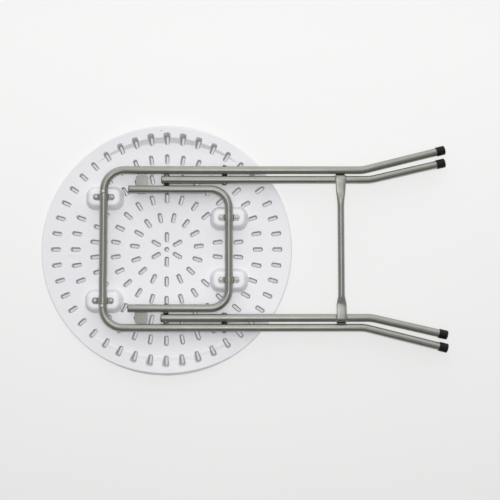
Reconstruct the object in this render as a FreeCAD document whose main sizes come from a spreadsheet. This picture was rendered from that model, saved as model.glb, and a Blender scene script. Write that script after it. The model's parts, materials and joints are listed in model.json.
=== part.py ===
"""A round folding table with a perforated plastic top and scissor legs of bent steel tube.

The table is modelled folded and lying on its tabletop's upper face. The origin is the centre of
that face, +Z points up through the underside, the feet point to +X, and left is +Y. Millimetres.
"""

import FreeCAD
import Part
import Sketcher
import math
import operator
import os

# Driving dimensions: alias, value, what it is.
DIMENSIONS = (
    ("top_radius", 300.0, "tabletop at its widest, near its upper face"),
    ("edge_bend", 9.0, "rounding between the upper face and the skirt"),
    ("skirt_draft", 17.0, "lean of the skirt, degrees"),
    ("rim_height", 30.0, "upper face to the top of the rolled rim"),
    ("arch_reach", 170.0, "where the rim's arched top comes down to the panel, along X"),
    ("arch_corner", 45.0, "upper face to the meeting of the tangents at the arch's ends"),
    ("arch_radius", 975.0, "arch of the rim's top"),
    ("rim_bend", 3.0, "rounding of the rim's outer shoulder"),
    ("rim_inner", 268.5, "inner edge of the rim's top"),
    ("rim_foot", 257.5, "where the rim meets the panel"),
    ("rim_soft", 2.0, "small roundings of the rim and the recess"),
    ("panel_thickness", 15.0, "perforated panel"),
    ("slot_length", 19.0, "slot at the upper face"),
    ("slot_width", 5.0, "slot at the upper face"),
    ("slot_draft", 11.31, "lean of the slot walls, which open towards the underside, degrees"),
    ("slot_filler", 12.8, "radius of the panel that fills a closed slot"),
    ("ring_first", 29.4, "radius of the slot rings, from the middle out"),
    ("ring_second", 77.0, "slot ring"),
    ("ring_third", 123.3, "slot ring"),
    ("ring_fourth", 172.0, "slot ring"),
    ("ring_fifth", 218.0, "slot ring"),
    ("ring_sixth", 265.0, "slot ring that runs into the rim"),
    ("middle_hole", 5.0, "radius of the hole in the middle"),
    ("recess_x", -223.0, "centre of the blank recess"),
    ("recess_y", -22.6, "centre of the blank recess"),
    ("recess_length", 29.0, "blank recess along X"),
    ("recess_width", 15.0, "blank recess along Y"),
    ("recess_depth", 0.6, "blank recess"),
    ("vent_x", -14.0, "moulding vent in the rim"),
    ("vent_y", 285.0, "moulding vent in the rim"),
    ("vent_radius", 1.2, "moulding vent in the rim"),
    ("vent_depth", 6.0, "moulding vent in the rim"),
    ("boss_length", 92.0, "hinge boss along X, at the panel"),
    ("boss_width", 58.0, "hinge boss along Y, at the panel"),
    ("boss_corner", 24.0, "corner radius of a boss at the panel"),
    ("boss_draft", 21.2, "lean of the boss walls, degrees"),
    ("boss_top", 40.0, "upper face to the flat of a boss"),
    ("boss_edge", 4.0, "rounding round the flat of a boss"),
    ("channel_radius", 10.2, "trough in a boss for a crossbar"),
    ("pilot_radius", 2.0, "screw hole in a boss"),
    ("pilot_depth", 17.0, "screw hole in a boss"),
    ("tube_radius", 9.5, "leg tube"),
    ("tube_wall", 1.2, "leg tube"),
    ("tube_height", 42.0, "upper face to the plane of the folded tubes"),
    ("outer_hinge", -148.0, "crossbar of the outer frame"),
    ("outer_y", 187.0, "straight outer legs"),
    ("outer_corner", 48.0, "bend from crossbar to leg"),
    ("outer_bend", 468.0, "where the outer legs splay"),
    ("outer_splay", 14.0, "splay of the outer legs, degrees"),
    ("foot_x", 664.0, "ends of the feet, folded"),
    ("link_hinge", 149.0, "crossbar of the link frame"),
    ("link_y", 141.0, "arms of the link frame"),
    ("link_corner", 45.0, "bend from crossbar to arm"),
    ("link_end", -89.0, "plugged ends of the arms"),
    ("inner_y", 164.0, "straight inner legs"),
    ("inner_end", -11.0, "plugged upper ends of the inner legs"),
    ("inner_bend", 485.0, "where the inner legs splay"),
    ("inner_splay", 12.9, "splay of the inner legs, degrees"),
    ("splay_radius", 90.0, "radius of the splay bends"),
    ("scissor_x", 138.5, "scissor pivot, folded"),
    ("toggle_x", 1.0, "toggle pivot, folded"),
    ("pin_radius", 3.0, "pivot rivets"),
    ("running_gap", 0.1, "clearance of a pin or tube that turns"),
    ("seat_gap", 0.05, "clearance of a pin or plug that does not turn"),
    ("clear_gap", 0.3, "clearance between faces that pass each other"),
    ("saddle", 2.3, "how far a head reaches round the tube that it sits on"),
    ("shank_grip", 1.0, "how far a shank runs into its own head"),
    ("scissor_head", 6.0, "radius of the scissor rivet's head"),
    ("scissor_tail", 4.5, "radius of the scissor rivet's closed end"),
    ("toggle_head", 6.5, "radius of the toggle rivet's head"),
    ("head_rise", 3.2, "height of a rivet head"),
    ("tail_rise", 2.3, "height of a rivet's closed end"),
    ("washer_radius", 6.4, "spacing washers"),
    ("foot_radius", 10.9, "foot cap"),
    ("foot_length", 21.0, "foot cap"),
    ("foot_floor", 3.0, "end of a foot cap"),
    ("foot_round", 2.6, "rounding of a foot cap"),
    ("foot_lip", 0.8, "rounding of a foot cap's mouth"),
    ("plug_rim", 1.6, "visible thickness of a tube plug"),
    ("plug_inset", 0.2, "step between a plug's rim and its tube"),
    ("plug_depth", 6.5, "part of a plug inside its tube"),
    ("brace_x", 414.0, "cross brace"),
    ("brace_z", 51.8, "cross brace, upper face to its centre"),
    ("brace_radius", 8.0, "round middle of the brace"),
    ("brace_flat_half", 11.75, "half width of the flattened ends"),
    ("brace_flat_rise", 2.3, "half thickness of the flattened ends"),
    ("brace_round_y", 104.0, "end of the round middle"),
    ("brace_flat_y", 128.0, "start of the flattened ends"),
    ("brace_end_y", 171.0, "end of the brace"),
    ("brace_vent", 2.0, "radius of the drain hole in the brace"),
    ("bumper_length", 21.0, "bumper along the leg"),
    ("bumper_rise", 14.0, "bumper height"),
    ("bumper_corner", 3.0, "rounding of a bumper"),
    ("plate_middle", -58.7, "stop plate, centre along X"),
    ("plate_length", 29.5, "stop plate along the arm"),
    ("plate_reach", 176.0, "outer end of a stop plate"),
    ("plate_thickness", 3.0, "stop plate"),
    ("plate_corner", 6.0, "rounded corners of a stop plate"),
    ("weld_length", 23.0, "weld between plate and arm"),
    ("weld_width", 15.0, "weld between plate and arm"),
    ("weld_rise", 4.0, "weld up the sides of the arm"),
    ("outer_clip_y", 123.0, "clips of the outer crossbar"),
    ("link_clip_y", 74.0, "clips of the link crossbar"),
    ("clip_length", 51.0, "clip across its ears"),
    ("clip_width", 15.0, "clip along the crossbar"),
    ("clip_thickness", 1.6, "clip strap"),
    ("clip_corner", 6.0, "rounded corners of the ears"),
    ("screw_offset", 18.6, "screw to crossbar centre"),
    ("screw_hole", 2.3, "radius of the hole in a clip"),
    ("screw_head", 4.4, "radius of a screw head"),
    ("screw_rise", 2.5, "height of a screw head"),
    ("screw_round", 1.5, "rounding of a screw head"),
    ("screw_shank", 1.9, "radius of a screw shank"),
    ("screw_depth", 16.0, "screw shank below its head"),
    ("screw_point", 3.0, "taper at the end of a screw"),
    ("cross_length", 4.2, "cross recess"),
    ("cross_width", 0.9, "cross recess"),
    ("cross_depth", 1.2, "cross recess"),
    ("stop_rivet_y", 135.0, "rivets that centre the outer crossbar"),
    ("stop_rivet_head", 4.0, "radius of such a rivet's head"),
    ("stop_rivet_rise", 2.4, "height of such a rivet's head"),
    ("stop_rivet_pin", 2.0, "radius of such a rivet's pin"),
    ("stop_rivet_depth", 5.0, "such a pin below the tube's surface"),
)

# Rings of slots: radius, number of slots, and how far up they cut.
SLOT_RINGS = (
    ("ring_first", 6, "panel_thickness"),
    ("ring_second", 15, "panel_thickness"),
    ("ring_third", 22, "panel_thickness"),
    ("ring_fourth", 30, "panel_thickness"),
    ("ring_fifth", 36, "panel_thickness"),
    ("ring_sixth", 44, "rim_height"),
)
# Slots left out because a hinge boss stands in their way: ring, angle in degrees.
CLOSED_SLOTS = (("ring_third", 24.545), ("ring_third", -24.545), ("ring_fifth", 150.0),
                ("ring_fifth", -150.0))
FAR = 1200.0
OPERATIONS = {"+": operator.add, "-": operator.sub, "*": operator.mul, "/": operator.truediv}
VALUES = {alias: value for alias, value, _ in DIMENSIONS}
Vector = FreeCAD.Vector
document = FreeCAD.newDocument("FoldingTable")


class Size:
    """A dimension from the sheet, or one worked out from several, with its expression."""

    def __init__(self, value, text):
        self.value = value
        self.text = text

    def __add__(self, other):
        return combine(self, "+", other)

    def __sub__(self, other):
        return combine(self, "-", other)

    def __mul__(self, other):
        return combine(self, "*", other)

    def __truediv__(self, other):
        return combine(self, "/", other)

    def __neg__(self):
        return combine(-1, "*", self)


def as_size(thing):
    """Turn a plain number into a Size."""
    return thing if isinstance(thing, Size) else Size(float(thing), f"({float(thing)})")


def combine(left, sign, right):
    left, right = as_size(left), as_size(right)
    value = OPERATIONS[sign](left.value, right.value)
    return Size(value, f"({left.text} {sign} {right.text})")


def size(alias):
    """The dimension of that name in the sheet."""
    return Size(VALUES[alias], f"Sizes.{alias}")


def sine(angle):
    return Size(math.sin(math.radians(angle.value)), f"sin({angle.text} * 1deg)")


def cosine(angle):
    return Size(math.cos(math.radians(angle.value)), f"cos({angle.text} * 1deg)")


def tangent(angle):
    return Size(math.tan(math.radians(angle.value)), f"tan({angle.text} * 1deg)")


def bind(thing, path, measure):
    """Tie one property to the sheet."""
    thing.setExpression(path, as_size(measure).text)


def make_sheet():
    sheet = document.addObject("Spreadsheet::Sheet", "Sizes")
    for row, (alias, value, note) in enumerate(DIMENSIONS, start=1):
        sheet.set(f"A{row}", note)
        sheet.set(f"B{row}", str(value))
        sheet.setAlias(f"B{row}", alias)
    document.recompute()


def origin_plane(body, role):
    return next(item for item in body.Origin.OriginFeatures if item.Role == role)


class Drawing:
    """A sketch drawn at its true place, then held there by dimensions from the sheet.

    On XY_Plane the sketch's axes are X and Y, on XZ_Plane X and Z, and on YZ_Plane Y and Z.
    """

    def __init__(self, body, name, role, offset=0):
        self.sketch = body.newObject("Sketcher::SketchObject", name)
        self.sketch.AttachmentSupport = [(origin_plane(body, role), "")]
        self.sketch.MapMode = "FlatFace"
        bind(self.sketch, ".AttachmentOffset.Base.z", offset)
        self.dimensions = 0

    def relate(self, kind, *where):
        self.sketch.addConstraint(Sketcher.Constraint(kind, *where))

    def dimension(self, kind, where, measure):
        self.dimensions += 1
        name = f"size_{self.dimensions}"
        index = self.sketch.addConstraint(Sketcher.Constraint(kind, *where, measure.value))
        self.sketch.renameConstraint(index, name)
        bind(self.sketch, f"Constraints.{name}", measure)

    def place(self, shape, end, x, y):
        """Hold one point of a shape at x, y from the sketch's origin."""
        for kind, axis, measure in (("DistanceX", -2, as_size(x)), ("DistanceY", -1, as_size(y))):
            if abs(measure.value) < 1e-9:
                self.relate("PointOnObject", shape, end, axis)
            else:
                self.dimension(kind, (-1, 1, shape, end), measure)

    def circle(self, x, y, radius):
        middle = Vector(as_size(x).value, as_size(y).value, 0)
        index = self.sketch.addGeometry(Part.Circle(middle, Vector(0, 0, 1), radius.value), False)
        self.place(index, 3, x, y)
        self.dimension("Radius", (index,), radius)

    def arc(self, middle, radius, start, stop):
        """An arc drawn anticlockwise between two points; its ends are 1 and 2."""
        angles = [math.atan2(point.y - middle.y, point.x - middle.x) for point in (start, stop)]
        circle = Part.Circle(middle, Vector(0, 0, 1), radius)
        return self.sketch.addGeometry(Part.ArcOfCircle(circle, *angles), False)

    def slot(self, near, far, width):
        """A round-ended slot along the sketch's second axis, from near to far."""
        half = width / 2
        left, right = Vector(-half.value, 0, 0), Vector(half.value, 0, 0)
        low, high = (near + half), (far - half)
        bottom, top = Vector(0, low.value, 0), Vector(0, high.value, 0)
        ends = (self.arc(top, half.value, top + right, top + left),
                self.arc(bottom, half.value, bottom + left, bottom + right))
        sides = [self.sketch.addGeometry(Part.LineSegment(*pair), False)
                 for pair in ((top + left, bottom + left), (bottom + right, top + right))]
        loop = (ends[0], sides[0], ends[1], sides[1])
        for index, shape in enumerate(loop):
            self.relate("Tangent", shape, 2, loop[(index + 1) % 4], 1)
        self.relate("Equal", *ends)
        self.place(ends[0], 3, 0, high)
        self.place(ends[1], 3, 0, low)
        self.dimension("Radius", (ends[0],), half)

    def chain(self, corners, closed=False):
        """Straight runs from corner to corner. A corner is x, y and a bend radius or None.

        The corners are held by guide lines, and each bend is an arc tangent to its two runs.
        """
        corners = [(as_size(x), as_size(y), bend) for x, y, bend in corners]
        points = [Vector(x.value, y.value, 0) for x, y, _ in corners]
        count = len(corners)
        runs = [(start, (start + 1) % count) for start in range(count if closed else count - 1)]
        guides = [self.sketch.addGeometry(Part.LineSegment(points[start], points[stop]), True)
                  for start, stop in runs]
        for index, guide in enumerate(guides):
            self.place(guide, 1, *corners[index][:2])
            if closed or index + 1 < len(guides):
                self.relate("Coincident", guide, 2, guides[(index + 1) % len(guides)], 1)
            else:
                self.place(guide, 2, *corners[-1][:2])

        setbacks = [0.0] * count
        for index in range(count):
            bend = corners[index][2]
            if bend is not None:
                before = points[index] - points[index - 1]
                after = points[(index + 1) % count] - points[index]
                setbacks[index] = bend.value * math.tan(before.getAngle(after) / 2)
        lines = []
        for index, (start, stop) in enumerate(runs):
            way = (points[stop] - points[start]).normalize()
            ends = (points[start] + way * setbacks[start], points[stop] - way * setbacks[stop])
            line = self.sketch.addGeometry(Part.LineSegment(*ends), False)
            lines.append((line, way, ends))
            for end, corner in ((1, start), (2, stop)):
                if corners[corner][2] is None:
                    self.relate("Coincident", line, end, guides[index], end)
                else:
                    self.relate("PointOnObject", line, end, guides[index])
        for index, (start, stop) in enumerate(runs):
            bend = corners[stop][2]
            if bend is None:
                continue
            line, way, ends = lines[index]
            next_line, next_way, next_ends = lines[(index + 1) % len(lines)]
            turns_left = way.x * next_way.y - way.y * next_way.x > 0
            side = Vector(-way.y, way.x, 0) * (bend.value if turns_left else -bend.value)
            middle = ends[1] + side
            touching = (ends[1], next_ends[0]) if turns_left else (next_ends[0], ends[1])
            arc = self.arc(middle, bend.value, *touching)
            first, last = (1, 2) if turns_left else (2, 1)
            self.relate("Tangent", line, 2, arc, first)
            self.relate("Tangent", arc, last, next_line, 1)
            self.dimension("Radius", (arc,), bend)

    def rectangle(self, x, y, length, width, corner):
        """A rectangle with rounded corners about x, y."""
        x, y = as_size(x), as_size(y)
        signs = ((-1, -1), (1, -1), (1, 1), (-1, 1))
        self.chain([(x + length / 2 * across, y + width / 2 * up, corner) for across, up in signs],
                   closed=True)


def new_body(label):
    body = document.addObject("PartDesign::Body", label)
    body.Label = label
    return body


def pad(body, drawing, name, length, both_sides=False, draft=None):
    """Add the drawing's outline as a prism, along the sketch's normal or to both sides."""
    feature = body.newObject("PartDesign::Pad", name)
    feature.Profile = drawing.sketch
    bind(feature, "Length", length)
    feature.SideType = "Symmetric" if both_sides else "One side"
    if draft is not None:
        bind(feature, "TaperAngle", -draft)
    return feature


def pocket(body, drawing, name, length, upwards=False, both_sides=False, draft=None):
    """Cut the drawing's outline away: downwards, upwards or to both sides."""
    feature = body.newObject("PartDesign::Pocket", name)
    feature.Profile = drawing.sketch
    bind(feature, "Length", length)
    feature.SideType = "Symmetric" if both_sides else "One side"
    feature.Reversed = upwards
    if draft is not None:
        bind(feature, "TaperAngle", draft)
    return feature


def revolve(body, drawing, name, axis):
    """Turn the drawing's outline round one of its own axes, H_Axis or V_Axis."""
    feature = body.newObject("PartDesign::Revolution", name)
    feature.Profile = drawing.sketch
    feature.ReferenceAxis = (drawing.sketch, [axis])
    feature.Angle = 360
    return feature


def stand(body, x, y, z, turn=0):
    """Place a body at x, y, z, turned about +Z by some degrees."""
    body.Placement = FreeCAD.Placement(Vector(0, 0, 0), FreeCAD.Rotation(Vector(0, 0, 1), 1))
    for axis, measure in (("x", x), ("y", y), ("z", z)):
        bind(body, f".Placement.Base.{axis}", measure)
    body.setExpression(".Placement.Rotation.Angle", f"{as_size(turn).text} * 1deg")
    return body


def group(label, master, places):
    """Copies of one fastener at several places, as one sub-part."""
    copies = []
    for index, place in enumerate(places, start=1):
        copy = document.addObject("App::Link", f"{label}_{index}")
        copy.LinkedObject = master
        copy.LinkTransform = False
        for axis, measure in zip("xyz", place):
            bind(copy, f".Placement.Base.{axis}", measure)
        copies.append(copy)
    whole = document.addObject("Part::Compound", label)
    whole.Label = label
    whole.Links = copies
    return whole


def cut_slots(body):
    """Six rings of radial slots, the last one through the rim. Each ring has one slot on -Y."""
    for alias, count, depth in SLOT_RINGS:
        radius = size(alias)
        drawing = Drawing(body, f"{alias}_slot", "XY_Plane")
        drawing.slot(-radius - size("slot_length") / 2, -radius + size("slot_length") / 2,
                     size("slot_width"))
        one = pocket(body, drawing, f"{alias}_cut", size(depth), upwards=True,
                     draft=size("slot_draft"))
        spread(body, drawing, one, count)


def close_slots(body):
    """Fill the slots that would run out from under a boss."""
    drawing = Drawing(body, "closed_slots", "XY_Plane")
    for alias, degrees in CLOSED_SLOTS:
        radius, angle = size(alias), as_size(degrees)
        drawing.circle(radius * cosine(angle), radius * sine(angle), size("slot_filler"))
    pad(body, drawing, "closed_slot_pad", size("panel_thickness"))


def spread(body, drawing, feature, count):
    """Repeat a feature evenly about +Z."""
    pattern = body.newObject("PartDesign::PolarPattern", f"{feature.Name}_ring")
    pattern.Originals = [feature]
    pattern.Axis = (drawing.sketch, ["N_Axis"])
    pattern.Angle = 360
    pattern.Occurrences = count
    body.Tip = pattern


def boss_places():
    """Where the four hinge bosses and their clips stand."""
    places = []
    for side in (1, -1):
        places.append((size("outer_hinge"), size("outer_clip_y") * side))
        places.append((size("link_hinge"), size("link_clip_y") * side))
    return places


def add_bosses(body):
    """Four drafted bosses with a trough for their crossbar and two screw holes each."""
    panel = size("panel_thickness")
    outline = (size("boss_length"), size("boss_width"), size("boss_corner"))
    drawings = [Drawing(body, name, "XY_Plane", offset)
                for name, offset in (("boss_roots", 0), ("boss_walls", panel))]
    for drawing in drawings:
        for x, y in boss_places():
            drawing.rectangle(x, y, *outline)
    pad(body, drawings[0], "boss_root_pad", panel)
    walls = pad(body, drawings[1], "boss_wall_pad", size("boss_top") - panel,
                draft=size("boss_draft"))
    document.recompute()
    top = VALUES["boss_top"]
    edges = [f"Edge{number}" for number, edge in enumerate(walls.Shape.Edges, start=1)
             if abs(edge.BoundBox.ZMin - top) < 0.01 and abs(edge.BoundBox.ZMax - top) < 0.01]
    rounding = body.newObject("PartDesign::Fillet", "boss_rounding")
    rounding.Base = (walls, edges)
    bind(rounding, "Radius", size("boss_edge"))
    for name in ("outer_hinge", "link_hinge"):
        trough = Drawing(body, f"{name}_trough", "XZ_Plane")
        trough.circle(size(name), size("tube_height"), size("channel_radius"))
        pocket(body, trough, f"{name}_cut", FAR, both_sides=True)
    pilots = Drawing(body, "screw_pilots", "XY_Plane", size("boss_top"))
    for x, y in boss_places():
        for way in (1, -1):
            pilots.circle(x + size("screw_offset") * way, y, size("pilot_radius"))
    pocket(body, pilots, "screw_pilot_cut", size("pilot_depth"))


def arch_rim(body):
    """Cut the rim down to an arch: full height on the Y axis, level with the panel towards X."""
    panel, reach = size("panel_thickness"), size("arch_reach")
    arch = Drawing(body, "arch", "XZ_Plane")
    arch.chain((
        (-FAR, panel, None),
        (-reach, panel, None),
        (0, size("arch_corner"), size("arch_radius")),
        (reach, panel, None),
        (FAR, panel, None),
        (FAR, FAR, None),
        (-FAR, FAR, None),
    ), closed=True)
    pocket(body, arch, "arch_cut", FAR, both_sides=True)


def make_tabletop():
    """One plastic moulding: perforated panel, drafted skirt, rolled rim and bosses."""
    body = new_body("tabletop")
    height, draft = size("rim_height"), size("skirt_draft")
    bend = size("edge_bend")
    corner = size("top_radius") + bend * (tangent((draft + 90) / 2) - 1)
    soft = size("rim_soft")
    section = Drawing(body, "section", "XZ_Plane")
    section.chain((
        (0, 0, None),
        (corner, 0, bend),
        (corner - height * tangent(draft), height, size("rim_bend")),
        (size("rim_inner"), height, soft),
        (size("rim_foot"), size("panel_thickness"), None),
        (0, size("panel_thickness"), None),
    ), closed=True)
    revolve(body, section, "tray", "V_Axis")
    arch_rim(body)
    cut_slots(body)
    close_slots(body)
    middle = Drawing(body, "middle_hole", "XY_Plane")
    middle.circle(0, 0, size("middle_hole"))
    pocket(body, middle, "middle_hole_cut", FAR, upwards=True)
    add_bosses(body)
    recess = Drawing(body, "recess", "XY_Plane", size("panel_thickness"))
    recess.rectangle(size("recess_x"), size("recess_y"), size("recess_length"),
                     size("recess_width"), soft)
    pocket(body, recess, "recess_cut", size("recess_depth"))
    vent = Drawing(body, "vent", "XY_Plane", height)
    vent.circle(size("vent_x"), size("vent_y"), size("vent_radius"))
    pocket(body, vent, "vent_cut", size("vent_depth"))
    return body


def make_clip(label, x, y):
    """A saddle strap: two ears on the boss and an arch over the crossbar."""
    body = new_body(label)
    width, thickness, ears = size("clip_width"), size("clip_thickness"), size("boss_top")
    inside = size("tube_radius") + size("running_gap")
    plate = Drawing(body, "ears", "XY_Plane", ears)
    plate.rectangle(0, 0, size("clip_length"), width, size("clip_corner"))
    pad(body, plate, "ear_pad", thickness)
    arch = Drawing(body, "arch", "XZ_Plane")
    arch.circle(0, size("tube_height"), inside + thickness)
    pad(body, arch, "arch_pad", width, both_sides=True)
    bore = Drawing(body, "bore", "XZ_Plane")
    bore.circle(0, size("tube_height"), inside)
    pocket(body, bore, "bore_cut", width * 2, both_sides=True)
    below = Drawing(body, "below", "XZ_Plane")
    span = size("clip_length")
    below.rectangle(0, ears - span / 2, span, span, None)
    pocket(body, below, "below_cut", width * 2, both_sides=True)
    holes = Drawing(body, "screw_holes", "XY_Plane", ears)
    for way in (1, -1):
        holes.circle(size("screw_offset") * way, 0, size("screw_hole"))
    pocket(body, holes, "screw_hole_cut", thickness * 2, upwards=True)
    return stand(body, x, y, 0)


def make_screw():
    """A pan-head screw with a cross recess. Its origin is under its head."""
    body = new_body("screw")
    head, rise, shank = size("screw_head"), size("screw_rise"), size("screw_shank")
    section = Drawing(body, "section", "XZ_Plane")
    section.chain((
        (0, -size("screw_depth"), None),
        (shank * 0.4, -size("screw_depth"), None),
        (shank, size("screw_point") - size("screw_depth"), None),
        (shank, 0, None),
        (head, 0, None),
        (head, rise, size("screw_round")),
        (0, rise, None),
    ), closed=True)
    revolve(body, section, "turned", "V_Axis")
    for name, length, width in (("slot_x", "cross_length", "cross_width"),
                                ("slot_y", "cross_width", "cross_length")):
        recess = Drawing(body, name, "XY_Plane", rise)
        recess.rectangle(0, 0, size(length), size(width), None)
        pocket(body, recess, f"{name}_cut", size("cross_depth"))
    return body


def screws(label, master, hinge, clip_y):
    places = [(size(hinge) + size("screw_offset") * way, size(clip_y) * side,
               size("boss_top") + size("clip_thickness"))
              for side in (1, -1) for way in (1, -1)]
    return group(label, master, places)


def make_stop_rivets(label):
    """Domed rivets on the outer crossbar, one outside each clip."""
    master = new_body("stop_rivet")
    radius, head = size("tube_radius"), size("stop_rivet_head")
    dome = Drawing(master, "head", "XZ_Plane")
    dome.chain((
        (0, radius - size("saddle") / 2, None),
        (head, radius - size("saddle") / 2, None),
        (head, radius + size("stop_rivet_rise"), size("stop_rivet_rise") * 0.8),
        (0, radius + size("stop_rivet_rise"), None),
    ), closed=True)
    revolve(master, dome, "head_turned", "V_Axis")
    seat = Drawing(master, "seat", "XZ_Plane")
    seat.circle(0, 0, radius)
    pocket(master, seat, "seat_cut", head * 4, both_sides=True)
    depth = size("stop_rivet_depth")
    pin = Drawing(master, "pin", "XY_Plane", radius - depth)
    pin.circle(0, 0, size("stop_rivet_pin"))
    pad(master, pin, "pin_pad", depth + size("shank_grip"))
    places = [(size("outer_hinge"), size("stop_rivet_y") * side, size("tube_height"))
              for side in (1, -1)]
    return group(label, master, places)


def tube_section(drawing, x, y):
    """The round of the tube and its bore."""
    drawing.circle(x, y, size("tube_radius"))
    drawing.circle(x, y, size("tube_radius") - size("tube_wall"))


def sweep(body, section, path, name):
    """Run a tube's section along its centreline."""
    feature = body.newObject("PartDesign::AdditivePipe", name)
    feature.Profile = section.sketch
    feature.Spine = (path.sketch, [])
    return feature


def drill(body, name, x, radius):
    """A hole through a tube along Y."""
    drawing = Drawing(body, name, "XZ_Plane")
    drawing.circle(x, size("tube_height"), radius)
    pocket(body, drawing, f"{name}_cut", FAR, both_sides=True)


def u_frame(label, hinge, corners):
    """A frame bent from one tube: half of it is swept from the middle of its crossbar."""
    body = new_body(label)
    path = Drawing(body, "centreline", "XY_Plane", size("tube_height"))
    path.chain(((size(hinge), 0, None), *corners))
    section = Drawing(body, "section", "XZ_Plane")
    tube_section(section, size(hinge), size("tube_height"))
    half = sweep(body, section, path, "half")
    whole = body.newObject("PartDesign::Mirrored", "whole")
    whole.Originals = [half]
    whole.MirrorPlane = (origin_plane(body, "XZ_Plane"), [""])
    body.Tip = whole
    return body


def foot_y(leg):
    """How far out the end of a splayed foot is."""
    return size(f"{leg}_y") + (size("foot_x") - size(f"{leg}_bend")) * tangent(
        size(f"{leg}_splay"))


def splayed_end(leg):
    """The last two corners of a leg's centreline: its splay bend and its end inside the foot."""
    splay, floor = size(f"{leg}_splay"), size("foot_floor")
    return (
        (size(f"{leg}_bend"), size(f"{leg}_y"), size("splay_radius")),
        (size("foot_x") - floor * cosine(splay), foot_y(leg) - floor * sine(splay), None),
    )


def make_outer_frame():
    """Crossbar and both outer legs, one bent tube."""
    corners = ((size("outer_hinge"), size("outer_y"), size("outer_corner")),
               *splayed_end("outer"))
    body = u_frame("outer_leg_frame", "outer_hinge", corners)
    drill(body, "scissor_hole", size("scissor_x"), size("pin_radius") + size("running_gap"))
    pins = Drawing(body, "stop_rivet_holes", "XY_Plane", size("tube_height"))
    for side in (1, -1):
        pins.circle(size("outer_hinge"), size("stop_rivet_y") * side,
                    size("stop_rivet_pin") + size("seat_gap"))
    pocket(body, pins, "stop_rivet_hole_cut", size("tube_radius") * 2, upwards=True)
    return body


def make_link_frame():
    """Crossbar and both short arms, one bent tube."""
    corners = ((size("link_hinge"), size("link_y"), size("link_corner")),
               (size("link_end") + size("plug_rim"), size("link_y"), None))
    body = u_frame("link_frame", "link_hinge", corners)
    drill(body, "toggle_hole", size("toggle_x"), size("pin_radius") + size("seat_gap"))
    return body


def make_inner_leg(label, side):
    """One inner leg tube. Side is 1 for left and -1 for right."""
    body = new_body(label)
    start = size("inner_end") + size("plug_rim")
    path = Drawing(body, "centreline", "XY_Plane", size("tube_height"))
    path.chain([(x, as_size(y) * side, bend) for x, y, bend in
                ((start, size("inner_y"), None), *splayed_end("inner"))])
    section = Drawing(body, "section", "YZ_Plane", start)
    tube_section(section, size("inner_y") * side, size("tube_height"))
    sweep(body, section, path, "tube")
    for name, x in (("scissor_hole", "scissor_x"), ("toggle_hole", "toggle_x")):
        drill(body, name, size(x), size("pin_radius") + size("seat_gap"))
    return body


def make_foot(label, leg, side):
    """A push-on cap, square to the end of its leg."""
    body = new_body(label)
    bore, radius = size("tube_radius") + size("seat_gap"), size("foot_radius")
    length, floor = size("foot_length"), size("foot_floor")
    section = Drawing(body, "section", "XY_Plane")
    section.chain((
        (-length, bore, None),
        (-length, radius, size("foot_lip")),
        (0, radius, size("foot_round")),
        (0, 0, None),
        (-floor, 0, None),
        (-floor, bore, None),
    ), closed=True)
    revolve(body, section, "turned", "H_Axis")
    return stand(body, size("foot_x"), foot_y(leg) * side, size("tube_height"),
                 size(f"{leg}_splay") * side)


def make_plug(label, x, y, side):
    """An end plug whose rim faces -X."""
    body = new_body(label)
    bore = size("tube_radius") - size("tube_wall") - size("seat_gap")
    rim, depth = size("plug_rim"), size("plug_depth")
    edge = size("tube_radius") - size("plug_inset")
    section = Drawing(body, "section", "XY_Plane")
    section.chain((
        (0, 0, None),
        (0, edge, rim / 2),
        (rim, edge, None),
        (rim, bore, None),
        (rim + depth, bore, None),
        (rim + depth, 0, None),
    ), closed=True)
    revolve(body, section, "turned", "H_Axis")
    return stand(body, x, size(y) * side, size("tube_height"))


def across(body, x, side):
    """Stand a piece drawn with its own +X pointing outwards from the table's middle line."""
    return stand(body, x, 0, size("tube_height"), 90 * side)


def seat_on_tube(body, tube_y):
    """Hollow a piece so that it sits round the leg at that distance from the middle line."""
    seat = Drawing(body, "seat", "XZ_Plane")
    seat.circle(size(tube_y), 0, size("tube_radius"))
    pocket(body, seat, "seat_cut", FAR, both_sides=True)


def add_head(body, inner, outer, radius, rounded_end):
    """A head turned about the pivot, rounded at its inner or outer end."""
    bends = [size("head_rise") * 0.75 if end == rounded_end else None for end in ("inner", "outer")]
    head = Drawing(body, "head", "XY_Plane")
    head.chain(((inner, 0, None), (inner, radius, bends[0]), (outer, radius, bends[1]),
                (outer, 0, None)), closed=True)
    revolve(body, head, "head_turned", "H_Axis")


def make_scissor_rivet(label, side):
    """Head inside the inner leg, shank through both legs, closed end outside the outer leg."""
    body = new_body(label)
    inside = size("inner_y") - size("tube_radius")
    outside = size("outer_y") + size("tube_radius") + size("clear_gap")
    add_head(body, inside - size("head_rise"), inside + size("saddle"), size("scissor_head"),
             "inner")
    seat_on_tube(body, "inner_y")
    shank = Drawing(body, "shank", "XY_Plane")
    tail, rise = size("scissor_tail"), size("tail_rise")
    shank.chain((
        (inside - size("shank_grip"), 0, None),
        (inside - size("shank_grip"), size("pin_radius"), None),
        (outside, size("pin_radius"), None),
        (outside, tail, None),
        (outside + rise, tail, rise * 0.8),
        (outside + rise, 0, None),
    ), closed=True)
    revolve(body, shank, "shank_turned", "H_Axis")
    return across(body, size("scissor_x"), side)


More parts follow.
